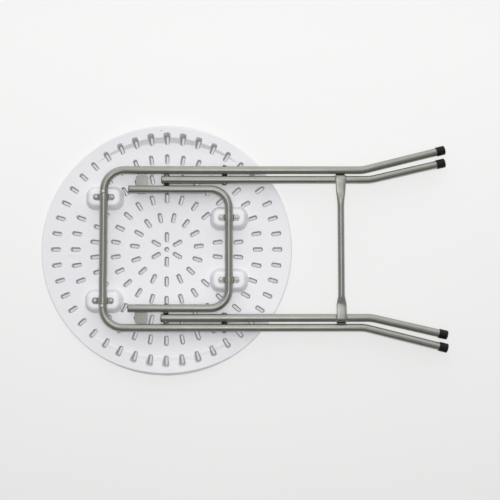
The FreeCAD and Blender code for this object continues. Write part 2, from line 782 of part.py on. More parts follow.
def make_toggle_rivet(label, side):
    """Head outside the inner leg, and a shank that ends just short of the link frame."""
    body = new_body(label)
    outside = size("inner_y") + size("tube_radius")
    add_head(body, outside - size("saddle"), outside + size("head_rise"), size("toggle_head"),
             "outer")
    seat_on_tube(body, "inner_y")
    shank = Drawing(body, "shank", "XY_Plane")
    start = size("link_y") + size("tube_radius") + size("clear_gap")
    end = outside + size("shank_grip")
    shank.chain(((start, 0, None), (start, size("pin_radius"), None),
                 (end, size("pin_radius"), None), (end, 0, None)), closed=True)
    revolve(body, shank, "shank_turned", "H_Axis")
    return across(body, size("toggle_x"), side)


def make_toggle_rivet_end(label, side):
    """The rivet's closed end on the inner side of the link frame's arm."""
    body = new_body(label)
    inside = size("link_y") - size("tube_radius")
    add_head(body, inside - size("tail_rise"), inside + size("saddle") / 2, size("scissor_tail"),
             "inner")
    seat_on_tube(body, "link_y")
    shank = Drawing(body, "shank", "XY_Plane")
    start = inside - size("shank_grip")
    stop = size("link_y") + size("tube_radius") - size("clear_gap")
    shank.chain(((start, 0, None), (start, size("pin_radius"), None),
                 (stop, size("pin_radius"), None), (stop, 0, None)), closed=True)
    revolve(body, shank, "shank_turned", "H_Axis")
    return across(body, size("toggle_x"), side)


def make_washer(label, x, inner, outer, side):
    """A spacing washer that sits round the inner leg and runs flat against the other tube."""
    body = new_body(label)
    bore = size("pin_radius") + size("seat_gap")
    ring = Drawing(body, "section", "XY_Plane")
    ring.chain(((inner, bore, None), (inner, size("washer_radius"), None),
                (outer, size("washer_radius"), None), (outer, bore, None)), closed=True)
    revolve(body, ring, "turned", "H_Axis")
    seat_on_tube(body, "inner_y")
    return across(body, size(x), side)


def make_scissor_washer(label, side):
    face = size("inner_y") + size("tube_radius")
    far = size("outer_y") - size("tube_radius") - size("clear_gap")
    return make_washer(label, "scissor_x", face - size("saddle"), far, side)


def make_toggle_washer(label, side):
    face = size("inner_y") - size("tube_radius")
    near = size("link_y") + size("tube_radius") + size("clear_gap")
    return make_washer(label, "toggle_x", near, face + size("saddle"), side)


def make_bumper(label, side):
    """A spacer on the outer side of an inner leg, beside the brace."""
    body = new_body(label)
    inner = size("inner_y") + size("tube_radius") / 2
    outer = size("outer_y") - size("tube_radius") - size("clear_gap")
    outline = Drawing(body, "outline", "YZ_Plane", inner)
    outline.rectangle(0, 0, size("bumper_length"), size("bumper_rise"), size("bumper_corner"))
    pad(body, outline, "block", outer - inner)
    seat_on_tube(body, "inner_y")
    return across(body, size("brace_x"), side)


def make_stop_plate(label, side):
    """A plate welded under an arm of the link frame. It reaches out under the inner leg."""
    body = new_body(label)
    arm, radius, clear = size("link_y"), size("tube_radius"), size("clear_gap")
    start = arm - radius
    thickness = size("plate_thickness")
    outline = Drawing(body, "outline", "XY_Plane", -radius - clear - thickness)
    outline.rectangle((start + size("plate_reach")) / 2, 0, size("plate_reach") - start,
                      size("plate_length"), size("plate_corner"))
    pad(body, outline, "plate", thickness)
    weld = Drawing(body, "weld", "XY_Plane", -radius - clear)
    weld.rectangle(arm, 0, size("weld_width"), size("weld_length"), size("plate_corner") / 2)
    pad(body, weld, "weld_pad", size("weld_rise"))
    seat_on_tube(body, "link_y")
    return across(body, size("plate_middle"), side)


def brace_ring(index, y, half, rise):
    """An ellipse across the brace at y. It is never quite a circle, which has no longer axis."""
    ring = document.addObject("Part::Ellipse", f"brace_ring_{index}")
    ring.Placement = FreeCAD.Placement(Vector(0, 0, 0), FreeCAD.Rotation(Vector(1, 0, 0), 90))
    bind(ring, "MajorRadius", half)
    bind(ring, "MinorRadius", rise * 0.9999)
    bind(ring, ".Placement.Base.x", size("brace_x"))
    bind(ring, ".Placement.Base.y", y)
    bind(ring, ".Placement.Base.z", size("brace_z"))
    return ring


def rod(name, radius, length, base, axis):
    """A cylinder of that length from its base along an axis."""
    cylinder = document.addObject("Part::Cylinder", name)
    turn = FreeCAD.Rotation(Vector(0, 0, 1), axis)
    cylinder.Placement = FreeCAD.Placement(Vector(0, 0, 0), turn)
    bind(cylinder, "Radius", radius)
    bind(cylinder, "Height", length)
    for letter, measure in zip("xyz", base):
        bind(cylinder, f".Placement.Base.{letter}", measure)
    return cylinder


def make_brace():
    """A tube whose flattened ends are welded over the tops of the inner legs."""
    radius, x, z = size("brace_radius"), size("brace_x"), size("brace_z")
    flat = (size("brace_flat_half"), size("brace_flat_rise"))
    end, start, round_y = size("brace_end_y"), size("brace_flat_y"), size("brace_round_y")
    stations = ((-end, *flat), (-start, *flat), (-round_y, radius, radius), (round_y, radius, radius),
                (start, *flat), (end, *flat))
    rings = [brace_ring(index, *station) for index, station in enumerate(stations, start=1)]
    spans = []
    for index, pair in enumerate(zip(rings, rings[1:]), start=1):
        span = document.addObject("Part::Loft", f"brace_span_{index}")
        span.Sections = list(pair)
        span.Solid = True
        span.Ruled = True
        spans.append(span)
    outside = document.addObject("Part::MultiFuse", "brace_outside")
    outside.Shapes = spans
    wall = size("tube_wall")
    bore = rod("brace_bore", radius - wall, round_y * 2, (x, -round_y, z), Vector(0, 1, 0))
    drain = rod("brace_drain", size("brace_vent"), radius, (x, 0, z), Vector(0, 0, -1))
    reach = flat[0] * 2
    legs = [rod(f"brace_seat_{name}", size("tube_radius"), reach * 2,
                (x - reach, size("inner_y") * side, size("tube_height")), Vector(1, 0, 0))
            for name, side in (("left", 1), ("right", -1))]
    away = document.addObject("Part::MultiFuse", "brace_away")
    away.Shapes = [bore, drain]
    hollow = document.addObject("Part::Cut", "brace_hollow")
    hollow.Base, hollow.Tool = outside, away
    seats = document.addObject("Part::Compound", "brace_seats")
    seats.Links = legs
    brace = document.addObject("Part::Cut", "cross_brace")
    brace.Label = "cross_brace"
    brace.Base, brace.Tool = hollow, seats
    return brace


def make_sub_parts():
    """Every sub-part of the table, each under its own label."""
    screw = make_screw()
    parts = [
        make_tabletop(),
        screws("outer_clip_screws", screw, "outer_hinge", "outer_clip_y"),
        screws("link_clip_screws", screw, "link_hinge", "link_clip_y"),
        make_outer_frame(),
        make_stop_rivets("outer_stop_rivets"),
        make_brace(),
        make_link_frame(),
    ]
    inner_end, link_end = size("inner_end"), size("link_end")
    for name, side in (("left", 1), ("right", -1)):
        parts += [
            make_clip(f"outer_clip_{name}", size("outer_hinge"), size("outer_clip_y") * side),
            make_clip(f"link_clip_{name}", size("link_hinge"), size("link_clip_y") * side),
            make_foot(f"outer_foot_{name}", "outer", side),
            make_inner_leg(f"inner_leg_{name}", side),
            make_foot(f"inner_foot_{name}", "inner", side),
            make_plug(f"inner_leg_plug_{name}", inner_end, "inner_y", side),
            make_bumper(f"leg_bumper_{name}", side),
            make_scissor_rivet(f"scissor_rivet_{name}", side),
            make_scissor_washer(f"scissor_washer_{name}", side),
            make_toggle_rivet(f"toggle_rivet_{name}", side),
            make_toggle_washer(f"toggle_washer_{name}", side),
            make_stop_plate(f"stop_plate_{name}", side),
            make_plug(f"link_plug_{name}", link_end, "link_y", side),
            make_toggle_rivet_end(f"toggle_rivet_end_{name}", side),
        ]
    return parts


def check(parts):
    """Stop if anything in the document failed, or a sub-part has no sound shape."""
    for item in document.Objects:
        if {"Invalid", "Error"} & set(item.State):
            raise RuntimeError(f"{item.Name} failed to compute: {item.State}")
    for part in parts:
        if part.Shape.isNull() or not part.Shape.isValid():
            raise RuntimeError(f"{part.Label} has no valid shape")


def main():
    make_sheet()
    parts = make_sub_parts()
    document.recompute()
    check(parts)
    os.makedirs("parts", exist_ok=True)
    for part in parts:
        part.Shape.exportStep(f"parts/{part.Label}.step")
        box = part.Shape.BoundBox
        print(f"{part.Label:24s} solids {len(part.Shape.Solids)}  volume {part.Shape.Volume:11.1f}"
              f"  x {box.XMin:7.1f} {box.XMax:7.1f}  y {box.YMin:7.1f} {box.YMax:7.1f}"
              f"  z {box.ZMin:6.1f} {box.ZMax:6.1f}")


main()
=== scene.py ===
"""A round folding table, folded flat and lying face down, for Blender.

Shapes are worked out in millimetres in the frame of the CAD model, and become metres when their
mesh is made. Left is +Y, the feet point to +X, and the tabletop's upper face lies on the floor.
"""

import json
import math

import bmesh
import bpy
import numpy as np
from mathutils import Euler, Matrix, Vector
from mathutils.geometry import delaunay_2d_cdt


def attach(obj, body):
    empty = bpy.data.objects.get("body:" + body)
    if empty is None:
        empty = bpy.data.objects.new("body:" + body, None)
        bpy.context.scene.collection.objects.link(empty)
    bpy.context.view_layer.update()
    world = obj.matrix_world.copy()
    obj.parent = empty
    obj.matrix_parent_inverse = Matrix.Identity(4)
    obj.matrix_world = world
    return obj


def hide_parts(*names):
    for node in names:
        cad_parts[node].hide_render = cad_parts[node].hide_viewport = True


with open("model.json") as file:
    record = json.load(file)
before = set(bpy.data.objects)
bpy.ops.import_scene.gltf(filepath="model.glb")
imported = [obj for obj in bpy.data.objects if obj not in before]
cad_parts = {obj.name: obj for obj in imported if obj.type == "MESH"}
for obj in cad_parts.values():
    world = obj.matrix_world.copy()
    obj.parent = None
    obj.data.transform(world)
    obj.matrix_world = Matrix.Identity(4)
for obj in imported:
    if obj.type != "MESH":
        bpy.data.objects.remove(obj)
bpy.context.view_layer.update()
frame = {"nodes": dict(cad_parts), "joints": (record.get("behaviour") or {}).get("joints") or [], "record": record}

MM = 0.001
SIDES = (("left", 1), ("right", -1))

# The crossbars' hinges are where the frame has them. The folded tubes lie at the hinges' height.
hinges = {joint["name"]: [round(c / MM, 3) for c in joint["pos_m"]] for joint in frame["joints"]}
OUTER_HINGE_X, _, TUBE_Z = hinges["outer_leg_fold"]
LINK_HINGE_X = hinges["link_fold"][0]
CLIPS = (("outer_clip", OUTER_HINGE_X, 123.0), ("link_clip", LINK_HINGE_X, 74.0))

# Tabletop: a panel, and a rim that arches above it and has a sloping wall on its inside.
TOP_RADIUS = 300.0
PANEL = 15.0
RIM_TOP = 30.0
ARCH_RADIUS = 975.0
RIM_INNER = 268.5
WALL_RUN = 11.0 / 15.0

# Slots: sizes at the upper face, growth per millimetre towards the underside, and the rings
# that they stand in, as (radius, count).
SLOT_HALF_LENGTH, SLOT_HALF_WIDTH, SLOT_CORNER = 9.5, 2.5, 5.0
SLOT_LEAN = 0.2
SLOT_RINGS = ((29.4, 6), (77.0, 15), (123.3, 22), (172.0, 30), (218.0, 36), (265.0, 44))

# Bosses: one under each clip. Their half sizes and corner are those of the foot.
BOSS_TOP = 40.0
BOSS_HALF, BOSS_CORNER = (46.0, 29.0), 24.0
BOSS_PLACES = [(x, y * side) for _, x, y in CLIPS for _, side in SIDES]

# Fittings: the clips' sheet metal, the brace's tube, and each pair of feet as (leg, body,
# distance from the middle, splay in degrees).
SHEET = 1.6
BRACE_X, BRACE_Z, BRACE_RADIUS, BRACE_END = 414.0, 51.8, 8.0, 171.0
FOOT_X = 664.0
FEET = (("outer", "outer_legs", 235.87, 14.0), ("inner", "inner_legs", 205.0, 12.9))

# Studio, in metres and watts. The sky's stops run from straight away from its bright side to
# straight towards it. The floor has painted light: its glow grows along Y, and painted shade
# dims it under the tabletop. Lights are (name, place, power, width, length, seen in gloss).
SKY_TOWARDS = (0.0, 0.87, 0.5)
SKY, SKY_STRENGTH = ((0.37, 0.025), (0.44, 0.24), (0.75, 0.27), (0.94, 1.0)), 1.16
FLOOR_DROP = 0.4
FLOOR_FROM, FLOOR_TO = -0.7, 0.5
# Painted light: how strongly the floor glows, from its -Y end to its +Y end.
FLOOR_PAINTED_GLOW = (0.508, 0.652)
# Painted shade: under the tabletop the floor's glow drops to this share.
SHADE_FROM, SHADE_TO, SHADE = 0.285, 0.297, 0.70
LIGHTS = (("overhead", (0.2, 0.10, 2.6), 8.0, 1.0, 2.0, True),
          ("front", (0.18, -0.12, 2.45), 23.5, 0.4, 0.4, False))
LIGHT_TARGET = (0.2, 0.0, 0.0)
CAMERA_PLACE = (0.1804, -0.1638, 2.2853)
CAMERA_TURN = (4.0913, -0.4728, -0.0602)
CAMERA_LENS, CAMERA_SENSOR = 68.4, 36.0


# Outlines


def arc(middle, radius, start, stop, steps):
    """Points on an arc, both ends included. Angles are in degrees."""
    return [(middle[0] + radius * math.cos(math.radians(start + (stop - start) * i / steps)),
             middle[1] + radius * math.sin(math.radians(start + (stop - start) * i / steps)))
            for i in range(steps + 1)]


def circle(x, y, radius, count):
    """Points on a whole circle, the first one not repeated."""
    return arc((x, y), radius, 0, 360 * (count - 1) / count, count - 1)


def rounded(corners, steps=5):
    """A line through corners (x, y, radius), each one rounded by a tangent arc."""
    points = []
    for index, (x, y, radius) in enumerate(corners):
        here = np.array((x, y), float)
        if not radius or index in (0, len(corners) - 1):
            points.append((x, y))
            continue
        back = np.array(corners[index - 1][:2], float) - here
        ahead = np.array(corners[index + 1][:2], float) - here
        back /= np.linalg.norm(back)
        ahead /= np.linalg.norm(ahead)
        half = math.acos(max(-1.0, min(1.0, float(back @ ahead)))) / 2
        inward = (back + ahead) / np.linalg.norm(back + ahead)
        middle = here + inward * radius / math.sin(half)
        first = here + back * radius / math.tan(half) - middle
        last = here + ahead * radius / math.tan(half) - middle
        turn = math.atan2(first[0] * last[1] - first[1] * last[0], float(first @ last))
        for step in range(steps + 1):
            angle = turn * step / steps
            cos, sin = math.cos(angle), math.sin(angle)
            points.append((middle[0] + first[0] * cos - first[1] * sin,
                           middle[1] + first[0] * sin + first[1] * cos))
    return points


def round_rectangle(x, y, half_x, half_y, corner, steps):
    """A rectangle about a middle, with round corners."""
    points = []
    for turn, (sign_x, sign_y) in enumerate(((1, 1), (-1, 1), (-1, -1), (1, -1))):
        middle = (x + sign_x * (half_x - corner), y + sign_y * (half_y - corner))
        points += arc(middle, corner, turn * 90, turn * 90 + 90, steps)
    return points


def inside(outline, points):
    """Which points are inside a closed outline, by counting the edges to their right."""
    here, after = outline, np.roll(outline, -1, axis=0)
    x, y = points[:, :1], points[:, 1:]
    spans = (here[:, 1] > y) != (after[:, 1] > y)
    with np.errstate(divide="ignore", invalid="ignore"):
        share = (y - here[:, 1]) / (after[:, 1] - here[:, 1])
        right = x < here[:, 0] + share * (after[:, 0] - here[:, 0])
    return np.sum(spans & right, axis=1) % 2 == 1


def in_any(outlines, points):
    """Which points are inside at least one of the outlines."""
    found = np.zeros(len(points), bool)
    for outline in outlines:
        low, high = outline.min(axis=0), outline.max(axis=0)
        near = np.flatnonzero(np.all((points > low) & (points < high), axis=1))
        found[near] |= inside(outline, points[near])
    return found


# Meshes


class Shell:
    """Points in millimetres and faces that wind anticlockwise seen from outside."""

    def __init__(self):
        self.points, self.faces = [], []

    def ring(self, points):
        """Add a loop of points, and return their indices."""
        first = len(self.points)
        self.points += [tuple(point) for point in points]
        return list(range(first, len(self.points)))

    def loop(self, outline, z):
        """Add an outline at one height."""
        return self.ring([(x, y, z) for x, y in outline])

    def bridge(self, lower, upper, flip=False):
        """Join two loops by a band of faces."""
        count = len(lower)
        for i in range(count):
            j = (i + 1) % count
            face = (lower[i], lower[j], upper[j], upper[i])
            self.faces.append(face[::-1] if flip else face)

    def stack(self, loops, flip=False):
        """Join each loop to the next."""
        for lower, upper in zip(loops, loops[1:]):
            self.bridge(lower, upper, flip)

    def cap(self, loop, flip=False):
        """Close a loop with one face."""
        self.faces.append(tuple(loop[::-1] if flip else loop))

    def fill(self, outer, holes, faces_up, creases=()):
        """Triangles between an outer loop and its holes. Creases are lines of points to follow."""
        loops = [outer, *holes]
        indices = [index for loop in loops for index in loop]
        edges, start = [], 0
        for loop in loops:
            edges += [(start + i, start + (i + 1) % len(loop)) for i in range(len(loop))]
            start += len(loop)
        for line in creases:
            edges += [(start + i, start + i + 1) for i in range(len(line) - 1)]
            indices += self.ring(line)
            start += len(line)
        flat = [Vector(self.points[index][:2]) for index in indices]
        result = delaunay_2d_cdt(flat, edges, [], 0, 1e-5)
        if len(result[0]) != len(flat):
            raise RuntimeError(f"outlines cross: {len(flat)} points became {len(result[0])}")
        triangles = np.array([[indices[result[3][corner][0]] for corner in face]
                              for face in result[2]])
        flat = np.array(self.points)[:, :2]
        a, b, c = (flat[triangles[:, corner]] for corner in range(3))
        middles = (a + b + c) / 3
        outlines = [flat[loop] for loop in loops]
        kept = inside(outlines[0], middles) & ~in_any(outlines[1:], middles)
        up = (b - a)[:, 0] * (c - a)[:, 1] - (b - a)[:, 1] * (c - a)[:, 0] > 0
        for face, is_up in zip(triangles[kept], up[kept]):
            face = tuple(int(index) for index in face)
            self.faces.append(face if is_up == faces_up else face[::-1])

    def merge(self, other, placement=None, flip=False):
        """Add another shell, its points moved by a function. A mirrored one needs a flip."""
        first = len(self.points)
        for point in other.points:
            self.points.append(tuple(placement(*point)) if placement else point)
        for face in other.faces:
            face = tuple(index + first for index in face)
            self.faces.append(face[::-1] if flip else face)

    def mesh(self, name):
        """A mesh of the shell, in metres."""
        mesh = bpy.data.meshes.new(name)
        mesh.from_pydata([tuple(c * MM for c in point) for point in self.points], [], self.faces)
        mesh.update()
        return mesh


def add(name, shell, material, body, replaced, sharp=35, weld=None):
    """Make an object of a shell, smooth it up to the sharp angle, and let it ride on a body."""
    mesh = shell.mesh(name)
    if weld:
        work = bmesh.new()
        work.from_mesh(mesh)
        bmesh.ops.remove_doubles(work, verts=work.verts, dist=weld * MM)
        bmesh.ops.delete(work, geom=[v for v in work.verts if not v.link_faces], context="VERTS")
        work.to_mesh(mesh)
        work.free()
    mesh.materials.append(material)
    mesh.shade_smooth()
    mesh.set_sharp_from_angle(angle=math.radians(sharp))
    thing = bpy.data.objects.new(name, mesh)
    bpy.context.scene.collection.objects.link(thing)
    weigh = thing.modifiers.new("flat faces stay flat", "WEIGHTED_NORMAL")
    weigh.keep_sharp = True
    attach(thing, body)
    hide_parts(*replaced)
    return thing


def lathe(profile, count, ribs=None):
    """A closed shell turned about +X, from a profile of (x, radius) that starts at its tip."""
    shell = Shell()
    loops = []
    for x, radius in profile:
        ring = []
        for i in range(count):
            angle = 2 * math.pi * i / count
            reach = radius - (ribs(x, radius, angle) if ribs else 0)
            ring.append((x, reach * math.cos(angle), reach * math.sin(angle)))
        loops.append(shell.ring(ring))
    shell.stack(loops, flip=True)
    shell.cap(loops[0])
    shell.cap(loops[-1], flip=True)
    return shell


def bead(start, stop, radius):
    """A weld bead between two points: scalloped, and tapered at its ends."""
    ripple, pitch, stride, wander, thinnest = 0.16, 3.1, 0.5, 0.15, 0.06
    shell = Shell()
    start, stop = np.array(start, float), np.array(stop, float)
    length = float(np.linalg.norm(stop - start))
    way = (stop - start) / length
    side = np.cross(way, (0, 0, 1))
    loops = []
    for step in range(int(length / stride) + 1):
        along = min(step * stride, length)
        end = min(along, length - along) / radius
        taper = math.sqrt(max(thinnest, 1 - (1 - min(end, 1)) ** 2))
        wave = 1 + ripple * (abs(math.sin(math.pi * along / pitch)) - 0.6)
        sway = wander * radius * math.sin(along * 1.7 + radius)
        reach = radius * taper * wave
        loops.append(shell.ring([start + way * along + side * (reach * math.cos(a) + sway)
                                 + np.array((0, 0, reach * math.sin(a)))
                                 for a in np.linspace(0, 2 * math.pi, 19)[:-1]]))
    shell.stack(loops, flip=True)
    shell.cap(loops[0])
    shell.cap(loops[-1], flip=True)
    return shell


def cut(shell, tool):
    """The first shell with the second cut out of it."""
    objects = []
    for name, part in (("kept", shell), ("tool", tool)):
        objects.append(bpy.data.objects.new(name, part.mesh(name)))
        bpy.context.scene.collection.objects.link(objects[-1])
    knife = objects[0].modifiers.new("cut", "BOOLEAN")
    knife.operation, knife.solver, knife.object = "DIFFERENCE", "EXACT", objects[1]
    graph = bpy.context.evaluated_depsgraph_get()
    result = bpy.data.meshes.new_from_object(objects[0].evaluated_get(graph))
    made = Shell()
    made.points = [tuple(c / MM for c in vertex.co) for vertex in result.vertices]
    made.faces = [tuple(face.vertices) for face in result.polygons]
    for thing in objects:
        bpy.data.objects.remove(thing)
    return made


# Tabletop


def above_zero(value, ease):
    """The value where it is above zero, and nothing below, with an eased corner between."""
    return ease * np.logaddexp(0, value / ease)


def rim_rise(x):
    """Height of the rim above the panel: an arch over the Y axis that eases out towards X."""
    rise = RIM_TOP - PANEL - ARCH_RADIUS + np.sqrt(ARCH_RADIUS ** 2 - np.square(x))
    return above_zero(rise, 0.25)


def underside(x, y):
    """Height of the underside where there is no boss: panel, sloping wall and rim."""
    rise = rim_rise(x)
    ease = np.maximum(0.03 * rise, 0.001)
    climb = above_zero((np.hypot(x, y) - RIM_INNER) / WALL_RUN + rise, ease)
    return PANEL + rise - above_zero(rise - climb, ease)


def boss_distance(x, y, middle):
    """How far a point is outside a boss's outline at the panel, and the way out of it."""
    away = []
    for value, centre, half in zip((x, y), middle, BOSS_HALF):
        away.append((value - centre, abs(value - centre) - (half - BOSS_CORNER)))
    (dx, qx), (dy, qy) = away
    outside = math.hypot(max(qx, 0), max(qy, 0))
    if outside > 0:
        way = (math.copysign(max(qx, 0), dx) / outside, math.copysign(max(qy, 0), dy) / outside)
        return outside - BOSS_CORNER, way
    way = (math.copysign(1, dx), 0) if qx > qy else (0, math.copysign(1, dy))
    return max(qx, qy) - BOSS_CORNER, way


def clear_of_bosses(outline, gap):
    """Push the points of an outline that are nearer to a boss than the gap, almost to the gap."""
    moved, share = [], 0.94
    for x, y in outline:
        for middle in BOSS_PLACES:
            distance, way = boss_distance(x, y, middle)
            if distance < gap:
                push = (gap - distance) * share
                x, y = x + way[0] * push, y + way[1] * push
        moved.append((x, y))
    return moved


def slot_places():
    """Middle and angle of every slot that no boss stands on."""
    clearance = 1.0
    for radius, count in SLOT_RINGS:
        for index in range(count):
            angle = -math.pi / 2 + 2 * math.pi * index / count
            x, y = radius * math.cos(angle), radius * math.sin(angle)
            if all(boss_distance(x, y, middle)[0] > clearance for middle in BOSS_PLACES):
                yield x, y, angle


def slot_outline(x, y, angle, grow):
    """A slot along an angle, round-ended where it is narrow and squarer where it is wide."""
    half_length, half_width = SLOT_HALF_LENGTH + grow, SLOT_HALF_WIDTH + grow
    corner = min(half_width - 0.02, SLOT_CORNER)
    run = half_length - corner
    local = []
    for turn, (along, across) in enumerate(((1, 1), (-1, 1), (-1, -1), (1, -1))):
        middle = (along * run, across * (half_width - corner))
        local += arc(middle, corner, turn * 90, turn * 90 + 90, 5)
        if turn in (0, 2):
            local += [(along * run * share, across * half_width)
                      for share in np.linspace(1, -1, 15)[1:-1]]
    cos, sin = math.cos(angle), math.sin(angle)
    return [(x + u * cos - v * sin, y + u * sin + v * cos) for u, v in local]


def make_slot(shell, x, y, angle):
    """The walls of one slot, up to the underside. Returns both mouths, and a wider outline."""
    boss_gap, boss_gap_lean = 1.1, 0.1
    lip, lip_gap, guard = 0.32, 0.9, 1.3

    def outline(height, extra=0.0):
        grow = height * SLOT_LEAN + extra
        gap = boss_gap + max(PANEL - height, 0) * boss_gap_lean
        return np.array(clear_of_bosses(slot_outline(x, y, angle, grow), gap))

    heights = np.linspace(PANEL - 1, RIM_TOP + 1, 9)
    outlines = np.array([outline(height) for height in heights])
    low = np.full(len(outlines[0]), heights[0])
    high = np.full(len(outlines[0]), heights[-1])
    rows = np.arange(len(low))

    def at(level):
        """The wall's points, each at its own height."""
        place = (level - heights[0]) / (heights[1] - heights[0])
        step = np.minimum(place.astype(int), len(heights) - 2)
        share = (place - step)[:, None]
        return outlines[step, rows] * (1 - share) + outlines[step + 1, rows] * share

    # Each point's height is halved in on until its wall meets the underside.
    for _ in range(24):
        middle = (low + high) / 2
        points = at(middle)
        below = underside(points[:, 0], points[:, 1]) > middle
        low, high = np.where(below, middle, low), np.where(below, high, middle)
    loops = [shell.loop(outline(z, extra), z) for z, extra in ((0, 0.7), (0.12, 0.35), (0.5, 0.02))]
    for drop in (0.55, 0.2):
        points = at(low - drop)
        loops.append(shell.ring([(*point, z) for point, z in zip(points, low - drop)]))
    points, before = at(low), at(low - 0.5)
    way = (points - before) / np.linalg.norm(points - before, axis=1)[:, None]
    wider = points + way * guard
    points = np.array(clear_of_bosses(points + way * lip, lip_gap))
    loops.append(shell.ring([(*point, z) for point, z in
                             zip(points, underside(points[:, 0], points[:, 1]))]))
    shell.stack(loops, flip=True)
    return loops[0], loops[-1], wider


def wall_creases(slots):
    """Lines round the rim's wall for the mesh to follow, broken where a slot cuts through."""
    lines, least_run = [], 5.0
    angles = np.linspace(0, 2 * math.pi, 1057)
    run = np.maximum(WALL_RUN * rim_rise(RIM_INNER * np.cos(angles)), least_run)
    for share in (-0.30, -0.12, -0.04, 0.0, 0.04, 0.12, 0.5, 0.88, 0.96, 1.0, 1.04, 1.12, 1.30):
        radius = RIM_INNER - run * (1 - share)
        x, y = radius * np.cos(angles), radius * np.sin(angles)
        z = underside(x, y)
        taken = in_any(slots, np.stack((x, y), axis=1))
        line = []
        for *point, hidden in list(zip(x, y, z, taken))[:-1]:
            if hidden:
                lines.append(line)
                line = []
            else:
                line.append(tuple(point))
        lines.append(line)
    return [line for line in lines if len(line) > 1]


def make_boss():
    """One hinge boss about its own middle, from the panel up, with its trough."""
    shoulder, trough_radius, trough_end = 8.0, 10.2, 60.0
    lean = math.tan(math.radians(21.2))
    profile = rounded(((0.0, PANEL, 0), ((PANEL - BOSS_TOP) * lean, BOSS_TOP, shoulder),
                       (-16.0, BOSS_TOP, 0)), steps=8)
    shell = Shell()
    loops = [shell.loop(round_rectangle(0, 0, BOSS_HALF[0] + grow, BOSS_HALF[1] + grow,
                                        BOSS_CORNER + grow, 14), z) for grow, z in profile]
    shell.stack(loops)
    shell.cap(loops[-1])
    shell.cap(loops[0], flip=True)
    base = [shell.points[index][:2] for index in loops[0]]
    trough = Shell()
    rims = [trough.ring([(x, y, z) for x, z in circle(0, TUBE_Z, trough_radius, 96)])
            for y in (trough_end, -trough_end)]
    trough.bridge(*rims)
    trough.cap(rims[1])
    trough.cap(rims[0], flip=True)
    whole = cut(shell, trough)
    # The foot's cap is only there for the cut.
    whole.faces = [face for face in whole.faces
                   if any(whole.points[index][2] > PANEL + 0.001 for index in face)]
    return whole, base


def make_skirt(shell):
    """The outside of the tabletop, from the rounding of its upper face to the rim's top."""
    count, steps = 352, 9
    lean, bend, crest = 17, 9.0, 3.0
    corner = TOP_RADIUS + bend * (math.tan(math.radians(45 + lean / 2)) - 1)
    inward = math.tan(math.radians(lean))
    levels = [[] for _ in range(2 * steps + 2)]
    for index in range(count):
        angle = 2 * math.pi * index / count
        cos, sin = math.cos(angle), math.sin(angle)
        top = PANEL + float(rim_rise((TOP_RADIUS - 4.0) * cos))
        profile = rounded(((TOP_RADIUS - 20.0, 0, 0), (corner, 0, bend),
                           (corner - top * inward, top, crest), (TOP_RADIUS - 15.0, top, 0)),
                          steps)[1:-1]
        for level, (radius, z) in zip(levels, profile):
            level.append((radius * cos, radius * sin, z))
    loops = [shell.ring(level) for level in levels]
    shell.stack(loops)
    return loops[0], loops[-1]


def make_drain(shell):
    """The drafted hole in the middle of the panel. Returns its lower and upper mouths."""
    loops = [shell.loop(circle(0, 0, radius, 40), z)
             for z, radius in ((0, 4.4), (0.12, 4.05), (0.5, 3.8), (PANEL - 0.6, 5.9),
                               (PANEL - 0.12, 6.15), (PANEL, 6.5))]
    shell.stack(loops, flip=True)
    return loops[0], loops[-1]


def make_recess(shell):
    """A blank, shallow recess in the panel. Returns its mouth."""
    x, y, half_x, half_y, corner = -223.0, -22.6, 14.5, 7.5, 2.0
    loops = [shell.loop(round_rectangle(x, y, half_x + grow, half_y + grow, corner + grow, 5),
                        PANEL - depth)
             for depth, grow in ((0.6, -0.5), (0.57, -0.25), (0.45, -0.08), (0.15, 0.05),
                                 (0.03, 0.2), (0.0, 0.45))]
    shell.stack(loops, flip=True)
    shell.cap(loops[0])
    return loops[-1]


def make_vent(shell):
    """A moulding vent in the rim: a small hole with a hollow inside. Returns its mouth."""
    x, y = -14.0, 285.0
    top = float(underside(x, y))
    loops = [shell.loop(circle(x, y, radius, 20), top - depth)
             for radius, depth in ((4.0, 14.0), (4.0, 5.0), (1.3, 2.5), (1.3, 0.2), (1.5, 0.0))]
    shell.stack(loops, flip=True)
    shell.cap(loops[0])
    return loops[-1]


def make_tabletop():
    """The whole moulding: holes and bosses first, then the two faces filled in round them."""
    shell = Shell()
    slots = [make_slot(shell, *place) for place in slot_places()]
    creases = wall_creases([wider for _, _, wider in slots])
    drain = make_drain(shell)
    lower_mouths = [mouth for mouth, _, _ in slots] + [drain[0]]
    upper_mouths = [mouth for _, mouth, _ in slots] + [drain[1], make_recess(shell)]
    boss, base = make_boss()
    for x, y in BOSS_PLACES:
        shell.merge(boss, lambda u, v, w: (u + x, v + y, w))
        upper_mouths.append(shell.loop([(u + x, v + y) for u, v in base], PANEL))
    face, top = make_skirt(shell)
    upper_mouths.append(make_vent(shell))
    shell.fill(top, upper_mouths, True, creases)
    shell.fill(face, lower_mouths, False)
    add("tabletop_moulding", shell, WHITE, "tabletop", ["tabletop"], weld=0.002)


# Legs and fittings


def eased(value, start, stop):
    """How far a value is from start to stop, from 0 to 1, with soft ends."""
    share = min(max((value - start) / (stop - start), 0.0), 1.0)
    return share * share * (3 - 2 * share)


